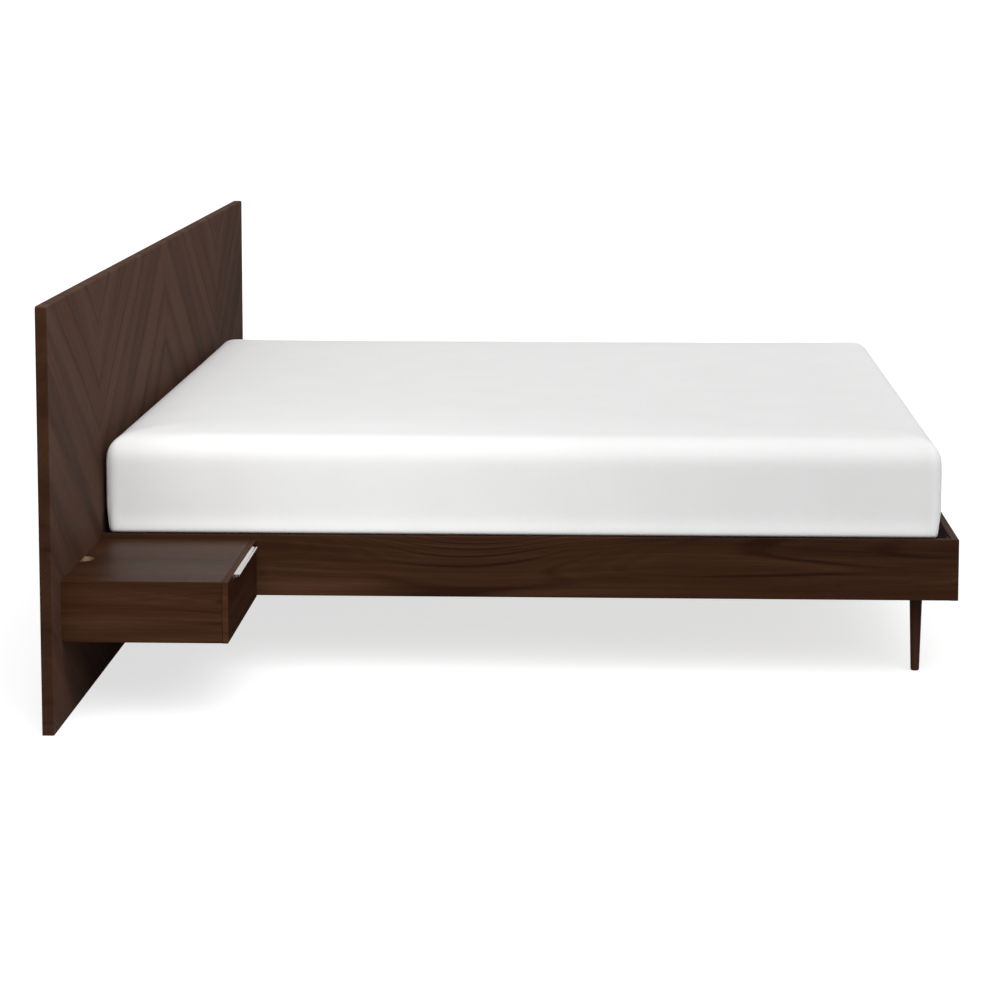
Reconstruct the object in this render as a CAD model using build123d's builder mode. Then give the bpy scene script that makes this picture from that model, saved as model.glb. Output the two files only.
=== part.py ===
from build123d import *
import os

# A platform bed: a wide headboard that stands on the floor, a king size mattress in a low
# box of rails on slats, and a floating nightstand with one drawer on each side of the bed.
# Frame, in millimetres: X across the bed, +Y towards the headboard, Z up from the floor,
# with the origin on the floor under the middle of the whole bed.

os.makedirs("parts", exist_ok=True)

# --- Driving dimensions ---------------------------------------------------------------

OVERALL_LENGTH = 2094
HEADBOARD_WIDTH = 3200
HEADBOARD_HEIGHT = 960
HEADBOARD_THICK = 27

BED_WIDTH = 1996  # over the side rails, and the width of the headboard's centre panel
RAIL_BOTTOM = 190.5
RAIL_HEIGHT = 148.5
SIDE_RAIL_THICK = 20
FOOT_RAIL_THICK = 18
EDGE_ROUND = 2
HEADBOARD_ROUND = 4
HEADBOARD_CORNER = 7

LEG_TOP_RADIUS = 15.5
LEG_BOTTOM_RADIUS = 10.5
LEG_SIDE_INSET = 88  # from the rails' outer faces to the leg's centreline
LEG_FOOT_INSET = 92

SLAT_TOP = 297
SLAT_THICK = 20
SLAT_WIDTH = 90
SLAT_COUNT = 14
SLAT_SPAN = 1840  # from the first slat's middle to the last one's
LEDGER_THICK = 22
LEDGER_HEIGHT = 30
BEAM_WIDTH = 45
BEAM_HEIGHT = 80
CENTRE_LEG_RADIUS = 19
CENTRE_LEG_SPOTS = (-380, 330)
STEEL = 3  # thickness of brackets, hangers and plates

MATTRESS_LENGTH = 2030
MATTRESS_HEIGHT = 279
MATTRESS_SEAT_WIDTH = 1936  # between the rails
MATTRESS_WIDTH = 1976  # above the rails, which it bulges over
MATTRESS_TOP_ROUND = 48
MATTRESS_CORNER_ROUND = 50
SHEET_THICK = 1.5

NIGHTSTAND_WIDTH = 500
NIGHTSTAND_HEIGHT = 140
NIGHTSTAND_BOTTOM = 188
NIGHTSTAND_PANEL = 18
NIGHTSTAND_FACE_Y = 643  # face of the drawer front
CABLE_NOTCH_RADIUS = 29
CABLE_RELIEF_DEPTH = 6  # cut into the headboard behind the notch

DRAWER_FRONT_THICK = 13
DRAWER_GAP = 0.8  # behind the drawer front
DRAWER_SIDE_GAP = 1.5  # between the drawer front and the side rail
DRAWER_LENGTH = 300
DRAWER_HEIGHT = 80
DRAWER_WALL = 12
DRAWER_BOTTOM_THICK = 6
DRAWER_CLEARANCE = 10  # under the drawer box
SLIDE_THICK = 12.7
SLIDE_HALF_HEIGHT = 22.5
SLIDE_SHEET = 1.5

PULL_LENGTH = 320
PULL_DEPTH = 14.7

# --- Places worked out from them ------------------------------------------------------

BACK_Y = OVERALL_LENGTH / 2
HEAD_Y = BACK_Y - HEADBOARD_THICK
FOOT_Y = -OVERALL_LENGTH / 2
FOOT_INNER_Y = FOOT_Y + FOOT_RAIL_THICK
RAIL_X = BED_WIDTH / 2
RAIL_INNER_X = RAIL_X - SIDE_RAIL_THICK
RAIL_TOP = RAIL_BOTTOM + RAIL_HEIGHT
SLAT_BOTTOM = SLAT_TOP - SLAT_THICK
LEG_X = RAIL_X - LEG_SIDE_INSET
LEG_Y = FOOT_Y + LEG_FOOT_INSET
PANEL_MIDDLE_Y = HEAD_Y + HEADBOARD_THICK / 2

STAND_IN_X = RAIL_X
STAND_OUT_X = RAIL_X + NIGHTSTAND_WIDTH
STAND_MIDDLE_X = (STAND_IN_X + STAND_OUT_X) / 2
STAND_TOP = NIGHTSTAND_BOTTOM + NIGHTSTAND_HEIGHT
STAND_FRONT_Y = NIGHTSTAND_FACE_Y + DRAWER_FRONT_THICK + DRAWER_GAP
BAY_IN_X = STAND_IN_X + NIGHTSTAND_PANEL
BAY_OUT_X = STAND_OUT_X - NIGHTSTAND_PANEL
BAY_FLOOR = NIGHTSTAND_BOTTOM + NIGHTSTAND_PANEL

BOX_IN_X = BAY_IN_X + SLIDE_THICK
BOX_OUT_X = BAY_OUT_X - SLIDE_THICK
BOX_FRONT_Y = NIGHTSTAND_FACE_Y + DRAWER_FRONT_THICK
BOX_BACK_Y = BOX_FRONT_Y + DRAWER_LENGTH
BOX_FLOOR = BAY_FLOOR + DRAWER_CLEARANCE
BOX_TOP = BOX_FLOOR + DRAWER_HEIGHT
SLIDE_Z = BOX_FLOOR + DRAWER_HEIGHT / 2

SIDES = (("left", -1), ("right", 1))


# --- Helpers --------------------------------------------------------------------------


def save(builder, node):
    """Label the finished piece and write it as its own STEP file."""
    builder.part.label = node
    export_step(builder.part, f"parts/{node}.step")


def block(x, y, z, mode=Mode.ADD):
    """A box in the open part, from its two limits along each axis."""
    with Locations(((x[0] + x[1]) / 2, (y[0] + y[1]) / 2, (z[0] + z[1]) / 2)):
        Box(abs(x[1] - x[0]), abs(y[1] - y[0]), abs(z[1] - z[0]), mode=mode)


def both(sign, near, far):
    """Two limits along X on the side that sign names."""
    return (sign * near, sign * far)


def rod(start, direction, radius, length, mode=Mode.ADD):
    """A round rod in the open part, from start along direction."""
    with Locations(Plane(origin=start, z_dir=direction)):
        Cylinder(radius, length, align=(Align.CENTER, Align.CENTER, Align.MIN), mode=mode)


def screw(start, direction, length, mode=Mode.ADD):
    """A countersunk screw, or the hole for it, with its head's flat face at start."""
    shank, head, head_depth = 2, 4, 2.5
    with Locations(Plane(origin=start, z_dir=direction)):
        low = (Align.CENTER, Align.CENTER, Align.MIN)
        Cone(head, shank, head_depth, align=low, mode=mode)
        Cylinder(shank, length, align=low, mode=mode)


# --- Where the fasteners sit, used by the pieces they join as well ---------------------

DOWEL_RADIUS = 4
DOWEL_LENGTH = 40
DOWEL_HEIGHTS = (80, 280, 480, 680, 880)
PLATE_LENGTH = 200
PLATE_WIDTH = 40
PLATE_HEIGHTS = (140, 560)
PLATE_SCREW_OFFSETS = (-80, -35, 35, 80)


def dowels(sign, length, mode=Mode.ADD):
    """The row of dowels, or their holes, across one joint between headboard panels."""
    for height in DOWEL_HEIGHTS:
        start = (sign * RAIL_X - length / 2, PANEL_MIDDLE_Y, height)
        rod(start, (1, 0, 0), DOWEL_RADIUS, length, mode)


def joining_plates(sign, mode=Mode.ADD):
    """Steel plates let into the headboard's back across one joint."""
    half = PLATE_LENGTH / 2
    for height in PLATE_HEIGHTS:
        x = (sign * RAIL_X - half, sign * RAIL_X + half)
        block(x, (BACK_Y - STEEL, BACK_Y), (height - PLATE_WIDTH / 2, height + PLATE_WIDTH / 2), mode)


def plate_screws(sign, mode=Mode.ADD):
    for height in PLATE_HEIGHTS:
        for offset in PLATE_SCREW_OFFSETS:
            screw((sign * RAIL_X + offset, BACK_Y, height), (0, -1, 0), 20, mode)


CLEAT_THICK = 18
CLEAT_LENGTH = 170
CLEAT_HEIGHT = 60


def stand_screws(sign, mode=Mode.ADD):
    """Screws through the headboard's back into a nightstand's two cleats."""
    for x in (BAY_IN_X + CLEAT_LENGTH / 2, BAY_OUT_X - CLEAT_LENGTH / 2):
        for rise in (15, 45):
            screw((sign * x, BACK_Y, BAY_FLOOR + rise), (0, -1, 0), 42, mode)


BOLT_RADIUS = 3
BOLT_HEAD_RADIUS = 7
BOLT_HEAD_THICK = 2.5
RAIL_BOLT_Y = (720, 900)
RAIL_BOLT_Z = BAY_FLOOR + 8


def rail_bolts(sign, mode=Mode.ADD):
    """Connector bolts that hold a nightstand's inner side to the side rail."""
    for y in RAIL_BOLT_Y:
        start = (sign * RAIL_INNER_X, y, RAIL_BOLT_Z)
        rod(start, (sign, 0, 0), BOLT_RADIUS, SIDE_RAIL_THICK + NIGHTSTAND_PANEL, mode)


BRACKET_LEG = 60
BRACKET_HEIGHT = 48
HEAD_BRACKET_Z = RAIL_BOTTOM + 6
FOOT_BRACKET_Z = SLAT_BOTTOM + 7
BRACKET_SCREW_SPOTS = (22, 46)
HANGER_PLATE_HALF = 45
HANGER_HEIGHT = 60
HANGER_DEPTH = 40
LEDGER_LENGTH = 1960
LEDGER_SCREW_PITCH = 360


def bracket_screws(sign, mode=Mode.ADD):
    """Screws of the angle brackets at the head and the foot of one side rail."""
    middle_of_height = BRACKET_HEIGHT / 2
    for y, inward, z in ((HEAD_Y, -1, HEAD_BRACKET_Z), (FOOT_INNER_Y, 1, FOOT_BRACKET_Z)):
        for spot in BRACKET_SCREW_SPOTS:
            height = z + middle_of_height
            screw((sign * (RAIL_INNER_X - STEEL), y + inward * spot, height), (sign, 0, 0), 18, mode)
            end = (sign * (RAIL_INNER_X - spot), y + inward * STEEL, height)
            screw(end, (0, -inward, 0), 16, mode)


def hanger_screws(mode=Mode.ADD):
    """Screws of the steel hangers that hold the centre beam's two ends."""
    for y, inward in ((HEAD_Y, -1), (FOOT_INNER_Y, 1)):
        for x in (-36, 36):
            for rise in (15, 65):
                start = (x, y + inward * STEEL, SLAT_BOTTOM - BEAM_HEIGHT + rise)
                screw(start, (0, -inward, 0), 16, mode)


def ledger_screws(sign, mode=Mode.ADD):
    start_x = sign * (RAIL_INNER_X - LEDGER_THICK)
    for step in range(6):
        y = (step - 2.5) * LEDGER_SCREW_PITCH
        screw((start_x, y, SLAT_BOTTOM - LEDGER_HEIGHT / 2), (sign, 0, 0), 36, mode)


def drawer_front_screws(sign, mode=Mode.ADD):
    """Screws from inside the drawer box into the drawer front."""
    for offset in (-150, 150):
        start = (sign * STAND_MIDDLE_X + offset, BOX_FRONT_Y + DRAWER_WALL, SLIDE_Z)
        screw(start, (0, -1, 0), DRAWER_WALL + 10, mode)


PULL_WALL = 2
PULL_WALL_HEIGHT = 11


def pull_screws(sign, mode=Mode.ADD):
    """Screws from behind the drawer front into the pull's back wall."""
    for offset in (-130, 0, 130):
        start = (sign * STAND_MIDDLE_X + offset, BOX_FRONT_Y, STAND_TOP - PULL_WALL_HEIGHT / 2 - 1)
        screw(start, (0, -1, 0), DRAWER_FRONT_THICK + PULL_WALL, mode)


# --- Headboard ------------------------------------------------------------------------

with BuildPart() as headboard_centre_panel:
    block((-RAIL_X, RAIL_X), (HEAD_Y, BACK_Y), (0, HEADBOARD_HEIGHT))
    long_edges = headboard_centre_panel.edges().filter_by(Axis.X)
    fillet(long_edges.group_by(Axis.Z)[-1], HEADBOARD_ROUND)
    for joint_side in (-1, 1):
        dowels(joint_side, DOWEL_LENGTH + 2, Mode.SUBTRACT)
        joining_plates(joint_side, Mode.SUBTRACT)
        plate_screws(joint_side, Mode.SUBTRACT)
        bracket_screws(joint_side, Mode.SUBTRACT)
    hanger_screws(Mode.SUBTRACT)
save(headboard_centre_panel, "headboard_centre_panel")

for side, sign in SIDES:
    with BuildPart() as headboard_wing:
        block(both(sign, RAIL_X, HEADBOARD_WIDTH / 2), (HEAD_Y, BACK_Y), (0, HEADBOARD_HEIGHT))
        outer_end = headboard_wing.faces().sort_by(Axis.X)[0 if sign < 0 else -1]
        fillet(outer_end.edges().sort_by(Axis.Z)[-1], HEADBOARD_CORNER)
        faces_by_y = headboard_wing.faces().sort_by(Axis.Y)
        rim = (faces_by_y[0].edges() + faces_by_y[-1].edges()).filter_by(
            lambda edge: abs(edge.center().X) > RAIL_X + 1 and edge.center().Z > 1)
        fillet(rim, HEADBOARD_ROUND)
        dowels(sign, DOWEL_LENGTH + 2, Mode.SUBTRACT)
        joining_plates(sign, Mode.SUBTRACT)
        plate_screws(sign, Mode.SUBTRACT)
        stand_screws(sign, Mode.SUBTRACT)
        relief_x = both(sign, STAND_MIDDLE_X - CABLE_NOTCH_RADIUS, STAND_MIDDLE_X + CABLE_NOTCH_RADIUS)
        relief_y = (HEAD_Y, HEAD_Y + CABLE_RELIEF_DEPTH)
        block(relief_x, relief_y, (NIGHTSTAND_BOTTOM, STAND_TOP), Mode.SUBTRACT)
    save(headboard_wing, f"headboard_{side}_wing")

with BuildPart() as headboard_dowels:
    for side, sign in SIDES:
        dowels(sign, DOWEL_LENGTH)
save(headboard_dowels, "headboard_dowels")

with BuildPart() as headboard_joining_plates:
    for side, sign in SIDES:
        joining_plates(sign)
        plate_screws(sign, Mode.SUBTRACT)
save(headboard_joining_plates, "headboard_joining_plates")

with BuildPart() as headboard_plate_screws:
    for side, sign in SIDES:
        plate_screws(sign)
save(headboard_plate_screws, "headboard_plate_screws")

# --- Rails, ledgers, slats and the centre beam ----------------------------------------

for side, sign in SIDES:
    with BuildPart() as side_rail:
        block(both(sign, RAIL_INNER_X, RAIL_X), (FOOT_INNER_Y, HEAD_Y), (RAIL_BOTTOM, RAIL_TOP))
        fillet(side_rail.edges().filter_by(Axis.Y), EDGE_ROUND)
        rail_bolts(sign, Mode.SUBTRACT)
        bracket_screws(sign, Mode.SUBTRACT)
        ledger_screws(sign, Mode.SUBTRACT)
    save(side_rail, f"{side}_side_rail")

with BuildPart() as foot_rail:
    block((-RAIL_X, RAIL_X), (FOOT_Y, FOOT_INNER_Y), (RAIL_BOTTOM, RAIL_TOP))
    outer_face_edges = foot_rail.faces().sort_by(Axis.Y)[0].edges()
    inner_top_edge = foot_rail.edges().filter_by(Axis.X).group_by(Axis.Z)[-1].sort_by(Axis.Y)[-1]
    fillet(outer_face_edges + [inner_top_edge], EDGE_ROUND)
    for joint_side in (-1, 1):
        bracket_screws(joint_side, Mode.SUBTRACT)
    hanger_screws(Mode.SUBTRACT)
save(foot_rail, "foot_rail")

for side, sign in SIDES:
    with BuildPart() as ledger:
        x = both(sign, RAIL_INNER_X - LEDGER_THICK, RAIL_INNER_X)
        y = (-LEDGER_LENGTH / 2, LEDGER_LENGTH / 2)
        block(x, y, (SLAT_BOTTOM - LEDGER_HEIGHT, SLAT_BOTTOM))
        ledger_screws(sign, Mode.SUBTRACT)
    save(ledger, f"{side}_slat_ledger")

with BuildPart() as slats:
    slat_length = 2 * RAIL_INNER_X - 4
    with Locations((0, 0, SLAT_BOTTOM + SLAT_THICK / 2)):
        with GridLocations(0, SLAT_SPAN / (SLAT_COUNT - 1), 1, SLAT_COUNT):
            Box(slat_length, SLAT_WIDTH, SLAT_THICK)
    fillet(slats.edges().filter_by(Axis.X), EDGE_ROUND)
save(slats, "slats")

BEAM_BOTTOM = SLAT_BOTTOM - BEAM_HEIGHT
with BuildPart() as centre_beam:
    half = BEAM_WIDTH / 2
    block((-half, half), (FOOT_INNER_Y + STEEL, HEAD_Y - STEEL), (BEAM_BOTTOM, SLAT_BOTTOM))
save(centre_beam, "centre_beam")

with BuildPart() as beam_hangers:
    inner, outer = BEAM_WIDTH / 2, BEAM_WIDTH / 2 + STEEL
    for wall_y, inward in ((HEAD_Y, -1), (FOOT_INNER_Y, 1)):
        plate_y = (wall_y, wall_y + inward * STEEL)
        arm_y = (wall_y, wall_y + inward * HANGER_DEPTH)
        plate_x = (-HANGER_PLATE_HALF, HANGER_PLATE_HALF)
        block(plate_x, plate_y, (BEAM_BOTTOM - STEEL, SLAT_BOTTOM))
        block((-outer, outer), arm_y, (BEAM_BOTTOM - STEEL, BEAM_BOTTOM))
        for sign in (-1, 1):
            block(both(sign, inner, outer), arm_y, (BEAM_BOTTOM - STEEL, BEAM_BOTTOM + HANGER_HEIGHT))
    hanger_screws(Mode.SUBTRACT)
save(beam_hangers, "beam_hangers")

with BuildPart() as rail_angle_brackets:
    for side, sign in SIDES:
        for wall_y, inward, z in ((HEAD_Y, -1, HEAD_BRACKET_Z), (FOOT_INNER_Y, 1, FOOT_BRACKET_Z)):
            height = (z, z + BRACKET_HEIGHT)
            long_y = (wall_y, wall_y + inward * BRACKET_LEG)
            block(both(sign, RAIL_INNER_X - STEEL, RAIL_INNER_X), long_y, height)
            short_y = (wall_y, wall_y + inward * STEEL)
            block(both(sign, RAIL_INNER_X - BRACKET_LEG, RAIL_INNER_X), short_y, height)
        bracket_screws(sign, Mode.SUBTRACT)
save(rail_angle_brackets, "rail_angle_brackets")

with BuildPart() as frame_screws:
    hanger_screws()
    for side, sign in SIDES:
        bracket_screws(sign)
        ledger_screws(sign)
save(frame_screws, "frame_screws")

# --- Legs -----------------------------------------------------------------------------

GLIDE_HEIGHT = 3
HANGER_BOLT_RADIUS = 4
HANGER_BOLT_DEPTH = 30
CORNER_BLOCK = 100
CORNER_BLOCK_HEIGHT = 40


def hanger_bolt(sign, mode=Mode.ADD):
    """The double-ended bolt between one foot leg and its corner block."""
    start = (sign * LEG_X, LEG_Y, RAIL_BOTTOM - HANGER_BOLT_DEPTH)
    rod(start, (0, 0, 1), HANGER_BOLT_RADIUS, 2 * HANGER_BOLT_DEPTH, mode)


for side, sign in SIDES:
    with BuildPart() as foot_leg:
        with BuildSketch(Plane.XY.offset(GLIDE_HEIGHT)):
            with Locations((sign * LEG_X, LEG_Y)):
                Circle(LEG_BOTTOM_RADIUS)
        with BuildSketch(Plane.XY.offset(RAIL_BOTTOM)):
            with Locations((sign * LEG_X, LEG_Y)):
                Circle(LEG_TOP_RADIUS)
        loft()
        hanger_bolt(sign, Mode.SUBTRACT)
    save(foot_leg, f"{side}_foot_leg")

with BuildPart() as foot_leg_glides:
    for side, sign in SIDES:
        rod((sign * LEG_X, LEG_Y, 0), (0, 0, 1), LEG_BOTTOM_RADIUS - 1, GLIDE_HEIGHT)
save(foot_leg_glides, "foot_leg_glides")

with BuildPart() as foot_leg_bolts:
    for side, sign in SIDES:
        hanger_bolt(sign)
save(foot_leg_bolts, "foot_leg_bolts")

with BuildPart() as foot_corner_blocks:
    for side, sign in SIDES:
        x = both(sign, RAIL_INNER_X - CORNER_BLOCK, RAIL_INNER_X)
        y = (FOOT_INNER_Y, FOOT_INNER_Y + CORNER_BLOCK)
        block(x, y, (RAIL_BOTTOM, RAIL_BOTTOM + CORNER_BLOCK_HEIGHT))
        hanger_bolt(sign, Mode.SUBTRACT)
save(foot_corner_blocks, "foot_corner_blocks")

CENTRE_GLIDE_HEIGHT = 8
CENTRE_GLIDE_RADIUS = 15
GLIDE_STEM_RADIUS = 4
GLIDE_STEM_LENGTH = 20

with BuildPart() as centre_legs:
    for y in CENTRE_LEG_SPOTS:
        start = (0, y, CENTRE_GLIDE_HEIGHT)
        rod(start, (0, 0, 1), CENTRE_LEG_RADIUS, BEAM_BOTTOM - CENTRE_GLIDE_HEIGHT)
        rod(start, (0, 0, 1), GLIDE_STEM_RADIUS, GLIDE_STEM_LENGTH, Mode.SUBTRACT)
save(centre_legs, "centre_legs")

with BuildPart() as centre_leg_glides:
    for y in CENTRE_LEG_SPOTS:
        rod((0, y, 0), (0, 0, 1), CENTRE_GLIDE_RADIUS, CENTRE_GLIDE_HEIGHT)
        stem_length = CENTRE_GLIDE_HEIGHT + GLIDE_STEM_LENGTH
        rod((0, y, 0), (0, 0, 1), GLIDE_STEM_RADIUS, stem_length)
save(centre_leg_glides, "centre_leg_glides")

# --- Mattress and its fitted sheet ----------------------------------------------------

MATTRESS_HEAD_Y = HEAD_Y - 2
MATTRESS_MIDDLE_Y = MATTRESS_HEAD_Y - MATTRESS_LENGTH / 2
BULGE_START = RAIL_TOP + 2
BULGE_FULL = RAIL_TOP + 14


def mattress_form(grow, bottom):
    """The mattress's outline, or a larger one of the same shape from a given height up."""
    middle = Plane.XY.move(Location((0, MATTRESS_MIDDLE_Y, 0)))
    seat = (MATTRESS_SEAT_WIDTH + 2 * grow, MATTRESS_LENGTH + 2 * grow)
    full = (MATTRESS_WIDTH + 2 * grow, MATTRESS_LENGTH + 2 * grow)
    corner = MATTRESS_CORNER_ROUND + grow
    top = SLAT_TOP + MATTRESS_HEIGHT + grow
    with BuildPart() as form:
        with BuildSketch(middle.offset(bottom)):
            RectangleRounded(*seat, corner)
        extrude(amount=BULGE_START - bottom)
        with BuildSketch(middle.offset(BULGE_START)):
            RectangleRounded(*seat, corner)
        with BuildSketch(middle.offset(BULGE_FULL)):
            RectangleRounded(*full, corner)
        loft()
        with BuildSketch(middle.offset(BULGE_FULL)):
            RectangleRounded(*full, corner)
        extrude(amount=top - BULGE_FULL)
        fillet(form.faces().sort_by(Axis.Z)[-1].edges(), MATTRESS_TOP_ROUND + grow)
    return form.part


# The light foam core is a closed hollow, which gives the mattress its real mass.
CORE = (1900, 1966, 248)
CORE_RISE = 15

with BuildPart() as mattress:
    add(mattress_form(0, SLAT_TOP))
    with Locations((0, MATTRESS_MIDDLE_Y, SLAT_TOP + CORE_RISE + CORE[2] / 2)):
        Box(*CORE, mode=Mode.SUBTRACT)
save(mattress, "mattress")

with BuildPart() as fitted_sheet:
    add(mattress_form(SHEET_THICK, SLAT_TOP + 2))
    add(mattress_form(0, SLAT_TOP), mode=Mode.SUBTRACT)
save(fitted_sheet, "fitted_sheet")

# --- Nightstands: a mitred box, open at the front -------------------------------------


def panel_wedges(sign):
    """Outlines that cut the box's ring into four panels, mitred at its corners."""
    outer_low, outer_high = NIGHTSTAND_BOTTOM, STAND_TOP
    low, high = BAY_FLOOR, STAND_TOP - NIGHTSTAND_PANEL
    near, far = sign * STAND_IN_X, sign * STAND_OUT_X
    bay_near, bay_far = sign * BAY_IN_X, sign * BAY_OUT_X
    return {
        "top": ((near, outer_high), (far, outer_high), (bay_far, high), (bay_near, high)),
        "bottom": ((near, outer_low), (far, outer_low), (bay_far, low), (bay_near, low)),
        "inner_side": ((near, outer_low), (near, outer_high), (bay_near, high), (bay_near, low)),
        "outer_side": ((far, outer_low), (far, outer_high), (bay_far, high), (bay_far, low)),
    }


for side, sign in SIDES:
    for panel, wedge in panel_wedges(sign).items():
        with BuildPart() as stand_panel:
            with BuildSketch(Plane.XZ.offset(-HEAD_Y)):
                with Locations((sign * STAND_MIDDLE_X, NIGHTSTAND_BOTTOM + NIGHTSTAND_HEIGHT / 2)):
                    RectangleRounded(NIGHTSTAND_WIDTH, NIGHTSTAND_HEIGHT, EDGE_ROUND)
                    bay_width = NIGHTSTAND_WIDTH - 2 * NIGHTSTAND_PANEL
                    bay_height = NIGHTSTAND_HEIGHT - 2 * NIGHTSTAND_PANEL
                    Rectangle(bay_width, bay_height, mode=Mode.SUBTRACT)
                with BuildLine():
                    Polyline(*wedge, close=True)
                make_face(mode=Mode.INTERSECT)
            extrude(amount=HEAD_Y - STAND_FRONT_Y)
            if panel in ("top", "bottom"):
                notch_start = (sign * STAND_MIDDLE_X, HEAD_Y, NIGHTSTAND_BOTTOM)
                rod(notch_start, (0, 0, 1), CABLE_NOTCH_RADIUS, NIGHTSTAND_HEIGHT, Mode.SUBTRACT)
            if panel == "inner_side":
                rail_bolts(sign, Mode.SUBTRACT)
        save(stand_panel, f"nightstand_{side}_{panel}")

    with BuildPart() as cleats:
        y, z = (HEAD_Y - CLEAT_THICK, HEAD_Y), (BAY_FLOOR, BAY_FLOOR + CLEAT_HEIGHT)
        block(both(sign, BAY_IN_X, BAY_IN_X + CLEAT_LENGTH), y, z)
        block(both(sign, BAY_OUT_X - CLEAT_LENGTH, BAY_OUT_X), y, z)
        stand_screws(sign, Mode.SUBTRACT)
    save(cleats, f"nightstand_{side}_cleats")

    with BuildPart() as headboard_screws:
        stand_screws(sign)
    save(headboard_screws, f"nightstand_{side}_screws")

    with BuildPart() as connector_bolts:
        rail_bolts(sign)
        for y in RAIL_BOLT_Y:
            rod((sign * BAY_IN_X, y, RAIL_BOLT_Z), (sign, 0, 0), BOLT_HEAD_RADIUS, BOLT_HEAD_THICK)
            rod((sign * RAIL_INNER_X, y, RAIL_BOLT_Z), (-sign, 0, 0), BOLT_HEAD_RADIUS, BOLT_HEAD_THICK)
    save(connector_bolts, f"nightstand_{side}_bolts")

# --- Drawers and their telescopic slides ----------------------------------------------


def channel(wall_x, inward, web, reach, half_height, length, front_y):
    """One slide member: a C section with its web at web and its flanges up to reach,
    both measured across the slide from wall_x towards inward."""
    y = (front_y, front_y + length)
    web_end = web + SLIDE_SHEET if reach > web else web - SLIDE_SHEET
    x_web = (wall_x + inward * web, wall_x + inward * web_end)
    x_flange = (wall_x + inward * web, wall_x + inward * reach)
    block(x_web, y, (SLIDE_Z - half_height, SLIDE_Z + half_height))
    for rise in (-1, 1):
        tip, root = SLIDE_Z + rise * half_height, SLIDE_Z + rise * (half_height - SLIDE_SHEET)
        block(x_flange, y, (tip, root))


# Each member: where its web and its flanges' ends are across the slide's thickness, its
# half height and its length. The drawer's member opens towards the wall.
SLIDE_MEMBERS = {
    "cabinet": (0, 10.5, SLIDE_HALF_HEIGHT, DRAWER_LENGTH),
    "middle": (4.5, 10, SLIDE_HALF_HEIGHT - 3.5, DRAWER_LENGTH - 6),
    "drawer": (SLIDE_THICK, 7, SLIDE_HALF_HEIGHT - 7.5, DRAWER_LENGTH - 8),
}

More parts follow.
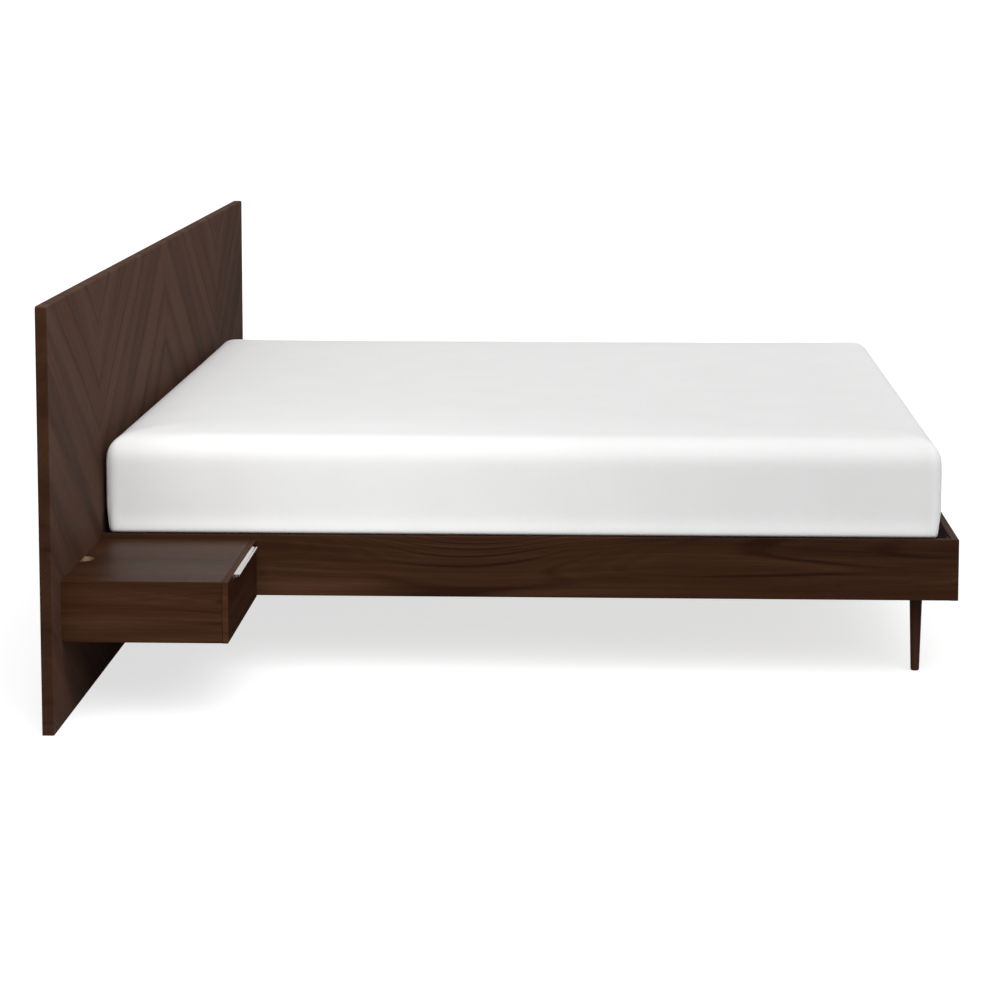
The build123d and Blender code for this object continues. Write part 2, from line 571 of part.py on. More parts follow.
for side, sign in SIDES:
    for member, (web, reach, half_height, length) in SLIDE_MEMBERS.items():
        with BuildPart() as slide_members:
            for wall_x, inward in ((sign * BAY_IN_X, sign), (sign * BAY_OUT_X, -sign)):
                channel(wall_x, inward, web, reach, half_height, length, STAND_FRONT_Y)
        save(slide_members, f"slide_{side}_{member}_members")

    with BuildPart() as drawer_front:
        x = both(sign, STAND_IN_X + DRAWER_SIDE_GAP, STAND_OUT_X)
        block(x, (NIGHTSTAND_FACE_Y, BOX_FRONT_Y), (NIGHTSTAND_BOTTOM, STAND_TOP))
        fillet(drawer_front.faces().sort_by(Axis.Y)[0].edges(), EDGE_ROUND)
        pull_screws(sign, Mode.SUBTRACT)
        drawer_front_screws(sign, Mode.SUBTRACT)
    save(drawer_front, f"drawer_{side}_front")

    wall_x_in = both(sign, BOX_IN_X, BOX_IN_X + DRAWER_WALL)
    wall_x_out = both(sign, BOX_OUT_X - DRAWER_WALL, BOX_OUT_X)
    groove = DRAWER_WALL / 2
    bottom_x = both(sign, BOX_IN_X + groove, BOX_OUT_X - groove)
    bottom_y = (BOX_FRONT_Y + groove, BOX_BACK_Y - groove)
    bottom_z = (BOX_FLOOR + groove, BOX_FLOOR + groove + DRAWER_BOTTOM_THICK)

    with BuildPart() as drawer_sides:
        for wall_x in (wall_x_in, wall_x_out):
            block(wall_x, (BOX_FRONT_Y, BOX_BACK_Y), (BOX_FLOOR, BOX_TOP))
        block(bottom_x, bottom_y, bottom_z, Mode.SUBTRACT)
    save(drawer_sides, f"drawer_{side}_sides")

    with BuildPart() as drawer_ends:
        end_x = both(sign, BOX_IN_X + DRAWER_WALL, BOX_OUT_X - DRAWER_WALL)
        for end_y in ((BOX_FRONT_Y, BOX_FRONT_Y + DRAWER_WALL), (BOX_BACK_Y - DRAWER_WALL, BOX_BACK_Y)):
            block(end_x, end_y, (BOX_FLOOR, BOX_TOP))
        block(bottom_x, bottom_y, bottom_z, Mode.SUBTRACT)
        drawer_front_screws(sign, Mode.SUBTRACT)
    save(drawer_ends, f"drawer_{side}_ends")

    with BuildPart() as drawer_bottom:
        block(bottom_x, bottom_y, bottom_z)
    save(drawer_bottom, f"drawer_{side}_bottom")

    # An extruded lip at the drawer front's top edge: a back wall against the face, a top
    # with a groove between two crowned bands, a rounded front lip and a bead beneath.
    with BuildPart() as pull:
        pull_end = (sign * STAND_MIDDLE_X - PULL_LENGTH / 2, NIGHTSTAND_FACE_Y, STAND_TOP)
        with BuildSketch(Plane(origin=pull_end, x_dir=(0, -1, 0), z_dir=(-1, 0, 0))):
            middle, band_edge, under = PULL_DEPTH / 2, 2.3, -2.6
            inner_band, outer_band = middle - band_edge, middle + band_edge
            with BuildLine():
                Line((0, -PULL_WALL_HEIGHT), (0, -0.7))
                ThreePointArc((0, -0.7), (inner_band / 2, 0), (inner_band, -0.7))
                ThreePointArc((inner_band, -0.7), (middle, -1.5), (outer_band, -0.7))
                ThreePointArc((outer_band, -0.7), (PULL_DEPTH - 2.4, 0), (PULL_DEPTH, -1.8))
                Line((PULL_DEPTH, -1.8), (PULL_DEPTH, -4))
                ThreePointArc((PULL_DEPTH, -4), (PULL_DEPTH - 1, -5), (PULL_DEPTH - 2, -4))
                Polyline(
                    (PULL_DEPTH - 2, -4),
                    (PULL_DEPTH - 2, under),
                    (PULL_WALL, under),
                    (PULL_WALL, -PULL_WALL_HEIGHT),
                    (0, -PULL_WALL_HEIGHT),
                )
            make_face()
            with Locations((middle, -4.4)):
                Circle(2.8)
        extrude(amount=-PULL_LENGTH)
        pull_screws(sign, Mode.SUBTRACT)
    save(pull, f"drawer_{side}_pull")

    with BuildPart() as drawer_screws:
        pull_screws(sign)
        drawer_front_screws(sign)
    save(drawer_screws, f"drawer_{side}_screws")
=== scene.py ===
import math

import bmesh
import bpy
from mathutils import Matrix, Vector, noise
from mathutils.bvhtree import BVHTree


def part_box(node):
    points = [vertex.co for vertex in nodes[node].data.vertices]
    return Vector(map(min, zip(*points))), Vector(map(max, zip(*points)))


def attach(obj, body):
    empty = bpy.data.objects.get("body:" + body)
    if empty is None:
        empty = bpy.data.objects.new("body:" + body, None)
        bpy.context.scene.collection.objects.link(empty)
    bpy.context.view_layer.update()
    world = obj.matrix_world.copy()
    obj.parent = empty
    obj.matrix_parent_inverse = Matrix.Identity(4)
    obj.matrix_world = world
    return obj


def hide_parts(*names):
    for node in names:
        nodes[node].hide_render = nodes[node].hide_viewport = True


# A platform bed with a wide walnut headboard, a mattress in a white fitted sheet and a
# floating nightstand on each side. Metres: X across the bed, +Y to the headboard, Z up.

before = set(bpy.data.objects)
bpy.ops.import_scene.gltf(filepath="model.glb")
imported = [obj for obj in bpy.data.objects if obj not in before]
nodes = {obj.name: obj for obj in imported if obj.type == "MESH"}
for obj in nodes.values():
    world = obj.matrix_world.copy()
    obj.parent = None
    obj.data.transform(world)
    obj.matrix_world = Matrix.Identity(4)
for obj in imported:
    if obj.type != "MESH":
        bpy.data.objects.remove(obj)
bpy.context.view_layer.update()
scene = bpy.context.scene

# --- Places taken from the frame ------------------------------------------------------

rail_low, rail_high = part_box("left_side_rail")
RAIL_X = -rail_low.x
RAIL_TOP = rail_high.z
headboard_low, headboard_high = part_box("headboard_left_wing")
HEADBOARD_FRONT = headboard_low.y
HEADBOARD_END = -headboard_low.x
stand_low, stand_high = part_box("nightstand_left_top")
NOTCH_X = -(stand_low.x + stand_high.x) / 2
NOTCH_RADIUS = 0.029  # the cable notch, and the shallow relief in the headboard behind it
RELIEF_DEPTH = 0.006
STAND_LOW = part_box("nightstand_left_bottom")[0].z
mattress_low, mattress_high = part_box("mattress")
sheet_low, sheet_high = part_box("fitted_sheet")


# --- Node helpers ---------------------------------------------------------------------


class Shader:
    """A material's node tree, with short ways to add and join its nodes."""

    def __init__(self, name):
        self.material = bpy.data.materials.new(name)
        self.material.use_nodes = True
        self.tree = self.material.node_tree
        self.tree.nodes.clear()
        self.out = self.tree.nodes.new("ShaderNodeOutputMaterial")
        self.bsdf = self.tree.nodes.new("ShaderNodeBsdfPrincipled")
        self.tree.links.new(self.bsdf.outputs[0], self.out.inputs[0])

    def feed(self, socket, value):
        if isinstance(value, bpy.types.NodeSocket):
            self.tree.links.new(value, socket)
        else:
            socket.default_value = value

    def node(self, kind, inputs=(), **settings):
        made = self.tree.nodes.new("ShaderNode" + kind)
        for key, value in settings.items():
            setattr(made, key, value)
        for key, value in dict(inputs).items():
            self.feed(made.inputs[key], value)
        return made

    def place(self):
        return self.node("TexCoord").outputs["Object"]

    def math(self, operation, a, b=0.0, c=0.0, clamp=False):
        made = self.node("Math", operation=operation, use_clamp=clamp)
        for socket, value in zip(made.inputs, (a, b, c)):
            self.feed(socket, value)
        return made.outputs[0]

    def split(self, vector):
        return self.node("SeparateXYZ", {0: vector}).outputs

    def join(self, x, y, z):
        return self.node("CombineXYZ", {0: x, 1: y, 2: z}).outputs[0]

    def noise(self, vector, scale=1.0, detail=2.0, roughness=0.5, distortion=0.0):
        made = self.node("TexNoise", {
            "Scale": scale, "Detail": detail, "Roughness": roughness, "Distortion": distortion,
        })
        self.feed(made.inputs["Vector"], vector)
        return made.outputs[0]

    def ramp(self, value, stops):
        made = self.node("ValToRGB", {0: value})
        ramp = made.color_ramp
        while len(ramp.elements) < len(stops):
            ramp.elements.new(0.5)
        for element, (position, colour) in zip(ramp.elements, stops):
            element.position = position
            element.color = (*colour, 1)
        return made.outputs[0]

    def mix(self, share, a, b, blend="MIX"):
        made = self.node("Mix", data_type="RGBA", blend_type=blend)
        for index, value in ((0, share), (6, a), (7, b)):
            if isinstance(value, tuple):
                value = (*value, 1)
            self.feed(made.inputs[index], value)
        return made.outputs[2]

    def bump(self, height, strength, distance):
        made = self.node("Bump", {"Strength": strength, "Distance": distance, "Height": height})
        self.tree.links.new(made.outputs[0], self.bsdf.inputs["Normal"])

    def set(self, **values):
        for key, value in values.items():
            self.feed(self.bsdf.inputs[key.replace("_", " ")], value)


# --- Wood -----------------------------------------------------------------------------


def gauss(s, value, centre, width):
    """1 where the value is at the centre, falling to nothing a few widths away."""
    away = s.math("DIVIDE", s.math("SUBTRACT", value, centre), width)
    return s.math("EXPONENT", s.math("MULTIPLY", s.math("MULTIPLY", away, away), -1.0))


def wood(name, grain, palette, roughness, figure=1.0, streaky=0.95, shine=0.04, hills=(),
         lines=(), raw=False, ends=None):
    """Wood whose grain runs as grain(shader, x, y, z) says: it gives the lengths along
    the grain, across it and into the board. Figure and streaky are how much its bands
    and its streaks differ, and shine is the lacquer's reflection. Each hill (along,
    across, length, width, height, reach) is the middle of a set of nested arches, drawn
    that far along, and each line (across, width, strength) is a darker stripe along the
    grain. Ends (distance, level, inside, beyond) tints the wood one way out to that
    distance from the object's middle and up to that level, and another way beyond."""
    dark, middle, light = palette
    s = Shader(name)
    x, y, z = s.split(s.place())
    along, across, depth = grain(s, x, y, z)

    # Slow drift bends the figure, whose contour lines are the nested arches of the wood.
    drift_at = s.join(s.math("MULTIPLY", along, 0.4), s.math("MULTIPLY", across, 5.0), depth)
    drift = s.noise(drift_at, 1.0, 1.5, 0.45, 0.25)
    arched = 0.16
    for hill_along, hill_across, length, width, height, reach in hills:
        hill_length = gauss(s, along, hill_along, length)
        hill = s.math("MULTIPLY", hill_length, gauss(s, across, hill_across, width))
        drift = s.math("MULTIPLY_ADD", hill, height, drift)
        arched = s.math("MULTIPLY_ADD", gauss(s, along, hill_along, reach), 0.84, arched, True)
    rings = s.math("SINE", s.math("MULTIPLY", drift, 75.0))
    ring_share = s.math("MULTIPLY_ADD", rings, 0.5, 0.5)

    bent = s.math("MULTIPLY_ADD", drift, 0.12, across)
    streak_at = s.join(s.math("MULTIPLY", along, 1.6), s.math("MULTIPLY", bent, 62.0), depth)
    streaks = s.noise(streak_at, 1.0, 5.0, 0.62, 0.15)
    band_at = s.join(s.math("MULTIPLY", along, 0.8), s.math("MULTIPLY", bent, 9.0), depth)
    bands = s.noise(band_at, 1.0, 2.0, 0.5, 0.3)
    pore_at = s.join(s.math("MULTIPLY", along, 26.0), s.math("MULTIPLY", bent, 620.0), depth)
    pores = s.noise(pore_at, 1.0, 2.0, 0.5)
    pore_share = s.math("SMOOTH_MIN", s.math("MULTIPLY_ADD", pores, 5.0, -2.75), 1.0, 0.2, True)

    tone = s.math("MULTIPLY_ADD", s.math("SUBTRACT", streaks, 0.5), streaky, 0.5)
    tone = s.math("MULTIPLY_ADD", s.math("SUBTRACT", bands, 0.5), 0.8 * figure, tone)
    tone = s.math("MULTIPLY_ADD", s.math("SUBTRACT", ring_share, 0.5), 0.1 * figure, tone)
    ring_line = s.math("MULTIPLY", s.math("POWER", ring_share, 7.0), arched)
    tone = s.math("MULTIPLY_ADD", ring_line, -0.6 * figure, tone)
    tone = s.math("MULTIPLY_ADD", pore_share, -0.14, tone, True)
    colour = s.ramp(tone, ((0.12, dark), (0.5, middle), (0.88, light)))

    # Some streaks are redder than the rest.
    red_at = s.join(s.math("MULTIPLY", along, 0.7), s.math("MULTIPLY", bent, 17.0), depth)
    redness = s.math("MULTIPLY_ADD", s.noise(red_at, 1.0, 2.0), 3.0, -1.25, True)
    red = tuple(value * share for value, share in zip(middle, (1.28, 0.98, 0.86)))
    colour = s.mix(s.math("MULTIPLY", redness, 0.45), colour, red)

    if lines:
        waver = s.math("MULTIPLY_ADD", s.noise(s.join(along, x, 0.0), 1.4, 1.0), 0.05, -0.025)
        waved = s.math("ADD", across, waver)
        fade = s.math("MULTIPLY_ADD", s.noise(s.join(along, across, 3.0), 3.0, 2.0), 1.6, 0.2)
        for line_across, width, strength in lines:
            stripe = s.math("MULTIPLY", gauss(s, waved, line_across, width), fade)
            keep = s.math("MULTIPLY_ADD", stripe, -strength, 1.0)
            colour = s.mix(1.0, colour, s.join(keep, keep, keep), "MULTIPLY")

    if raw:
        # What is cut away for cables, behind the notch too, shows the board's pale core.
        side = s.math("SUBTRACT", s.math("ABSOLUTE", x), NOTCH_X)
        back = s.math("SUBTRACT", y, HEADBOARD_FRONT)
        squares = s.math("ADD", s.math("POWER", side, 2.0), s.math("POWER", back, 2.0))
        from_notch = s.math("SQRT", squares)
        in_notch = s.math("LESS_THAN", from_notch, NOTCH_RADIUS + 0.0004)
        before_board = s.math("LESS_THAN", back, -0.0002)
        beside = s.math("LESS_THAN", s.math("ABSOLUTE", side), NOTCH_RADIUS + 0.0004)
        in_relief = s.math("COMPARE", back, RELIEF_DEPTH / 2 + 0.0003, RELIEF_DEPTH / 2)
        stand_middle = (stand_high.z + STAND_LOW) / 2
        at_stand = s.math("COMPARE", z, stand_middle, stand_high.z - stand_middle + 0.0003)
        relief = s.math("MULTIPLY", s.math("MULTIPLY", beside, in_relief), at_stand)
        cut = s.math("MAXIMUM", s.math("MULTIPLY", in_notch, before_board), relief)
        speck = s.noise(s.place(), 900.0, 3.0)
        core = s.ramp(speck, ((0.3, (0.22, 0.13, 0.07)), (0.7, (0.42, 0.29, 0.17))))
        colour = s.mix(cut, colour, core)

    # The drawer front uses these tints as painted shade on its face and painted light on its edges;
    # the headboard uses them for its real edge banding.
    if ends:
        distance, level, inside, beyond = ends
        turn = s.math("DIVIDE", s.math("SUBTRACT", s.math("ABSOLUTE", x), distance), 0.003)
        turn = s.math("MAXIMUM", turn, s.math("GREATER_THAN", z, level))
        turn = s.math("MINIMUM", turn, 1.0)
        colour = s.mix(1.0, colour, s.mix(turn, inside, beyond), "MULTIPLY")

    s.set(Base_Color=colour, Specular_IOR_Level=shine)
    gloss = s.math("MULTIPLY_ADD", streaks, 0.16, roughness - 0.08)
    s.set(Roughness=s.math("MULTIPLY_ADD", pore_share, 0.12, gloss))
    height = s.math("MULTIPLY_ADD", pore_share, -0.6, s.math("MULTIPLY", streaks, 0.5))
    s.bump(height, 0.35, 0.0006)
    return s.material


def grain_along_y(s, x, y, z):
    return s.math("MULTIPLY_ADD", x, 0.37, y), z, s.math("MULTIPLY", x, 6.0)


def grain_along_y_flat(s, x, y, z):
    return y, x, s.math("MULTIPLY", z, 6.0)


def grain_along_x(s, x, y, z):
    return x, s.math("ADD", z, 0.9), s.math("MULTIPLY", y, 6.0)


def grain_turning(limit):
    """Along X, but past the limit it carries on the grain of the side beside it."""

    def grain(s, x, y, z):
        end = s.math("GREATER_THAN", s.math("ABSOLUTE", x), limit)
        pairs = zip(grain_along_x(s, x, y, z), grain_along_y(s, x, y, z))
        return [s.math("MULTIPLY_ADD", s.math("SUBTRACT", b, a), end, a) for a, b in pairs]

    return grain


def grain_along_x_flat(s, x, y, z):
    return x, y, s.math("MULTIPLY", z, 6.0)


def grain_along_z(s, x, y, z):
    return z, s.math("ADD", x, y), s.math("MULTIPLY", x, 0.3)


CHEVRON = math.radians(35)


def grain_chevron(s, x, y, z):
    """Slanting veneer, mirrored at each joint between panels and down the middle, so it
    meets in a V at each joint and in a point at the middle."""
    from_joint = s.math("ABSOLUTE", s.math("SUBTRACT", s.math("ABSOLUTE", x), RAIL_X))
    rise, run = math.sin(CHEVRON), math.cos(CHEVRON)
    along = s.math("MULTIPLY_ADD", z, rise, s.math("MULTIPLY", from_joint, run))
    across = s.math("MULTIPLY_ADD", z, run, s.math("MULTIPLY", from_joint, -rise))
    return along, across, s.math("MULTIPLY", y, 6.0)


WALNUT = ((0.0180, 0.0068, 0.0034), (0.0395, 0.0162, 0.0076), (0.072, 0.034, 0.018))
GREY_WALNUT = ((0.044, 0.0222, 0.0152), (0.082, 0.0446, 0.0308), (0.121, 0.071, 0.051))
ESPRESSO = ((0.024, 0.0108, 0.0066), (0.052, 0.0235, 0.0135), (0.078, 0.040, 0.025))
# Nearly black wood: painted shade for the gap between the mattress's foot and the foot rail.
GAP_SHADE_DARK = ((0.008, 0.0036, 0.0024), (0.016, 0.0075, 0.0045), (0.026, 0.013, 0.008))
PINE = ((0.33, 0.20, 0.10), (0.50, 0.34, 0.19), (0.62, 0.46, 0.29))
BIRCH = ((0.42, 0.29, 0.17), (0.58, 0.43, 0.27), (0.70, 0.56, 0.38))

# Darker lines in the headboard's veneer: how far across the grain, width, strength.
VENEER_LINES = (
    (0.487, 0.005, 0.34), (0.478, 0.002, 0.2), (0.695, 0.006, 0.22), (0.26, 0.022, 0.24),
    (0.41, 0.020, 0.20), (0.57, 0.005, 0.24), (0.34, 0.004, 0.14), (0.12, 0.016, 0.18),
    (0.0, 0.006, 0.2), (-0.15, 0.02, 0.2), (-0.32, 0.005, 0.2), (-0.45, 0.018, 0.18),
)
# The headboard's two ends are banded in a browner wood, and its top edge is not.
EDGE_BAND = (
    HEADBOARD_END - 0.0036, headboard_high.z + 0.01, (1.0, 1.0, 1.0), (0.50, 0.42, 0.34),
)
RAIL_ARCHES = (
    (-0.262, RAIL_TOP + 0.09, 0.34, 0.118, 1.2, 0.17),
    (-1.02, RAIL_TOP - 0.10, 0.40, 0.03, 0.05, 0.2),
)
STAND_ARCHES = ((0.03, RAIL_TOP - 0.055, 0.17, 0.03, 0.11, 0.12),)
headboard_wood = wood(
    "walnut_chevron", grain_chevron, GREY_WALNUT, 0.5, 1.1, 0.38, 0.005,
    lines=VENEER_LINES, raw=True, ends=EDGE_BAND,
)
rail_wood = wood("walnut_rail", grain_along_y, WALNUT, 0.45, hills=RAIL_ARCHES)
foot_rail_wood = wood("walnut_foot_rail", grain_turning(RAIL_X - 0.0026), WALNUT, 0.45)
stand_side_wood = wood("walnut_stand_side", grain_along_y, WALNUT, 0.45, hills=STAND_ARCHES)
stand_top_wood = wood(
    "walnut_stand_top", grain_along_y_flat, WALNUT, 0.42, 0.8, 0.8, 0.044, raw=True,
)
# The drawer front's face is darkened to 0.74 as painted shade, for the shade it sits in below the
# nightstand top, and its side and top edges are lightened to 1.3 as painted light.
stand_outer = -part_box("drawer_left_front")[0].x - 0.0026
drawer_front_wood = wood(
    "walnut_drawer_front", grain_turning(stand_outer), WALNUT, 0.45, shine=0.015,
    ends=(stand_outer, stand_high.z - 0.0016, (0.74, 0.74, 0.74), (1.3, 1.3, 1.3)),
)
leg_wood = wood("dark_leg", grain_along_z, ESPRESSO, 0.4, 0.5)
# The ledgers and corner blocks take the nearly black palette as painted shade for that gap.
dark_y = wood("dark_ledger", grain_along_y, GAP_SHADE_DARK, 0.5, 0.5, shine=0.015)
pine_x = wood("pine_slat", grain_along_x_flat, PINE, 0.6, 0.8)
pine_y = wood("pine_beam", grain_along_y, PINE, 0.6, 0.8)
birch_x = wood("birch_across", grain_along_x, BIRCH, 0.5, 0.7)
birch_y = wood("birch_along", grain_along_y, BIRCH, 0.5, 0.7)


# --- Metal and plastic ----------------------------------------------------------------


def brushed_metal(name, colour, roughness, line_scale, along_x=True):
    """Metal with fine brush lines along X or along Y."""
    s = Shader(name)
    x, y, z = s.split(s.place())
    along, across = (x, y) if along_x else (y, x)
    stretched = s.join(s.math("MULTIPLY", along, 4.0), s.math("MULTIPLY", across, line_scale),
                       s.math("MULTIPLY", z, line_scale))
    lines = s.noise(stretched, 1.0, 3.0, 0.6)
    dark = tuple(value * 0.86 for value in colour)
    s.set(Base_Color=s.ramp(lines, ((0.3, dark), (0.7, colour))))
    s.set(Roughness=s.math("MULTIPLY_ADD", lines, 0.22, roughness - 0.1), Metallic=1.0)
    s.bump(lines, 0.2, 0.0002)
    return s.material


def plastic(name, colour, roughness):
    s = Shader(name)
    speckle = s.noise(s.place(), 1400.0, 3.0)
    dark = tuple(value * 0.8 for value in colour)
    s.set(Base_Color=s.ramp(speckle, ((0.3, dark), (0.7, colour))), Roughness=roughness)
    s.bump(speckle, 0.25, 0.0002)
    return s.material


pull_metal = brushed_metal("brushed_pull", (0.74, 0.73, 0.71), 0.2, 1500.0)
slide_metal = brushed_metal("slide_steel", (0.62, 0.63, 0.64), 0.3, 900.0, False)
zinc = brushed_metal("zinc_steel", (0.56, 0.56, 0.55), 0.4, 700.0)
glide_plastic = plastic("glide_plastic", (0.03, 0.03, 0.03), 0.6)
black_paint = plastic("black_paint", (0.02, 0.02, 0.02), 0.5)


# --- Cloth materials ------------------------------------------------------------------


def cotton(name, colour, thread, sheen, depth):
    """Plain woven cotton: crossed threads, faint slubs and a soft sheen."""
    s = Shader(name)
    x, y, z = s.split(s.place())
    turns = 2 * math.pi / thread
    level = s.math("ADD", y, z)
    warp = s.math("SINE", s.math("MULTIPLY", s.math("ADD", x, z), turns))
    weft = s.math("SINE", s.math("MULTIPLY", level, turns))
    weave = s.math("MULTIPLY_ADD", s.math("MULTIPLY", warp, weft), 0.5, 0.5)
    slub_at = s.join(s.math("MULTIPLY", x, 30.0), s.math("MULTIPLY", y, 400.0),
                     s.math("MULTIPLY", z, 30.0))
    slubs = s.noise(slub_at, 1.0, 2.0)
    mottle = s.noise(s.place(), 7.0, 3.0)
    shade = s.math("MULTIPLY_ADD", slubs, 0.3, s.math("MULTIPLY", mottle, 0.7))
    dark = tuple(value * 0.965 for value in colour)
    s.set(Base_Color=s.ramp(shade, ((0.3, dark), (0.7, colour))))
    s.set(Roughness=0.82, Sheen_Weight=sheen, Sheen_Roughness=0.5)
    s.bump(s.math("MULTIPLY_ADD", slubs, 0.4, weave), 0.25, depth)
    return s.material


sheet_cotton = cotton("sheet_cotton", (0.79, 0.79, 0.787), 0.0011, 0.08, 0.0003)
ticking = cotton("mattress_ticking", (0.74, 0.735, 0.72), 0.0024, 0.1, 0.0008)

MATERIALS = {
    headboard_wood: ["headboard_centre_panel", "headboard_left_wing", "headboard_right_wing"],
    rail_wood: ["left_side_rail", "right_side_rail"],
    foot_rail_wood: ["foot_rail"],
    leg_wood: ["left_foot_leg", "right_foot_leg", "centre_legs"],
    pine_x: ["slats", "headboard_dowels"],
    pine_y: ["centre_beam"],
    zinc: [
        "headboard_joining_plates", "headboard_plate_screws", "beam_hangers", "foot_leg_bolts",
    ],
    dark_y: ["left_slat_ledger", "right_slat_ledger", "foot_corner_blocks"],
    black_paint: ["rail_angle_brackets", "frame_screws"],
    glide_plastic: ["foot_leg_glides", "centre_leg_glides"],
}
for side in ("left", "right"):
    MATERIALS.setdefault(stand_top_wood, []).extend(
        [f"nightstand_{side}_top", f"nightstand_{side}_bottom"])
    MATERIALS.setdefault(stand_side_wood, []).extend(
        [f"nightstand_{side}_inner_side", f"nightstand_{side}_outer_side"])
    MATERIALS.setdefault(drawer_front_wood, []).append(f"drawer_{side}_front")
    MATERIALS.setdefault(birch_y, []).append(f"drawer_{side}_sides")
    MATERIALS.setdefault(birch_x, []).extend([f"drawer_{side}_ends", f"drawer_{side}_bottom"])
    MATERIALS[pine_x].append(f"nightstand_{side}_cleats")
    MATERIALS[zinc].extend(
        [f"nightstand_{side}_screws", f"nightstand_{side}_bolts", f"drawer_{side}_screws"])
    MATERIALS.setdefault(slide_metal, []).extend(
        [f"slide_{side}_{member}_members" for member in ("cabinet", "middle", "drawer")])
    MATERIALS.setdefault(pull_metal, []).append(f"drawer_{side}_pull")

for material, names in MATERIALS.items():
    for name in names:
        mesh = nodes[name].data
        mesh.materials.clear()
        mesh.materials.append(material)


# --- Mattress and fitted sheet --------------------------------------------------------

CORNER_ROUND = 0.028  # radius of the upright corners, and of the top's edge
TOP_ROUND = 0.060
SEAT_INSET = 0.020  # how much narrower the mattress is between the rails
END_TAPER = 0.015  # how far the sheet draws the ends in above the rails
END_TAPER_HEIGHT = 0.055
STEP = 0.022  # mesh spacing


def spread(low, high, step):
    """Evenly spaced values from low to high."""
    count = max(2, round((high - low) / step))
    return [low + (high - low) * i / count for i in range(count + 1)]


def plan_edge(x, y, half_x, half_y):
    """Outward direction at a point inside the rounded plan, and its distance inside."""
    core_x, core_y = half_x - CORNER_ROUND, half_y - CORNER_ROUND
    beyond_x, beyond_y = abs(x) - core_x, abs(y) - core_y
    if beyond_x > 0 and beyond_y > 0:
        reach = math.hypot(beyond_x, beyond_y)
        out = Vector((math.copysign(beyond_x, x), math.copysign(beyond_y, y), 0)) / reach
        return out, CORNER_ROUND - reach
    if half_x - abs(x) < half_y - abs(y):
        return Vector((math.copysign(1, x), 0, 0)), half_x - abs(x)
    return Vector((0, math.copysign(1, y), 0)), half_y - abs(y)


def round_corner(x, y, half_x, half_y):
    """Pulls a point of the square plan into the rounded one."""
    core_x, core_y = half_x - CORNER_ROUND, half_y - CORNER_ROUND
    beyond_x, beyond_y = abs(x) - core_x, abs(y) - core_y
    if beyond_x <= 0 or beyond_y <= 0:
        return x, y
    share = max(beyond_x, beyond_y) / math.hypot(beyond_x, beyond_y)
    out_x, out_y = core_x + beyond_x * share, core_y + beyond_y * share
    return math.copysign(out_x, x), math.copysign(out_y, y)


def side_offset(z):
    """How far a side stands in from its widest line at a height: it narrows between the
    rails."""
    blend = min(1.0, max(0.0, (z - RAIL_TOP - 0.0002) / 0.002))
    blend = blend * blend * (3 - 2 * blend)
    return -SEAT_INSET * (1 - blend)


def end_offset(z):
    """How far an end stands in: it starts to draw in a little above the rails."""
    share = min(1.0, max(0.0, 1 - (z - RAIL_TOP) / END_TAPER_HEIGHT))
    drawn_in = -END_TAPER * share * share * (3 - 2 * share)
    return min(drawn_in, side_offset(z))


def set_in(out, z):
    """The move from the widest outline, for a point that faces out at a height."""
    return Vector((out.x * side_offset(z), out.y * end_offset(z), 0))


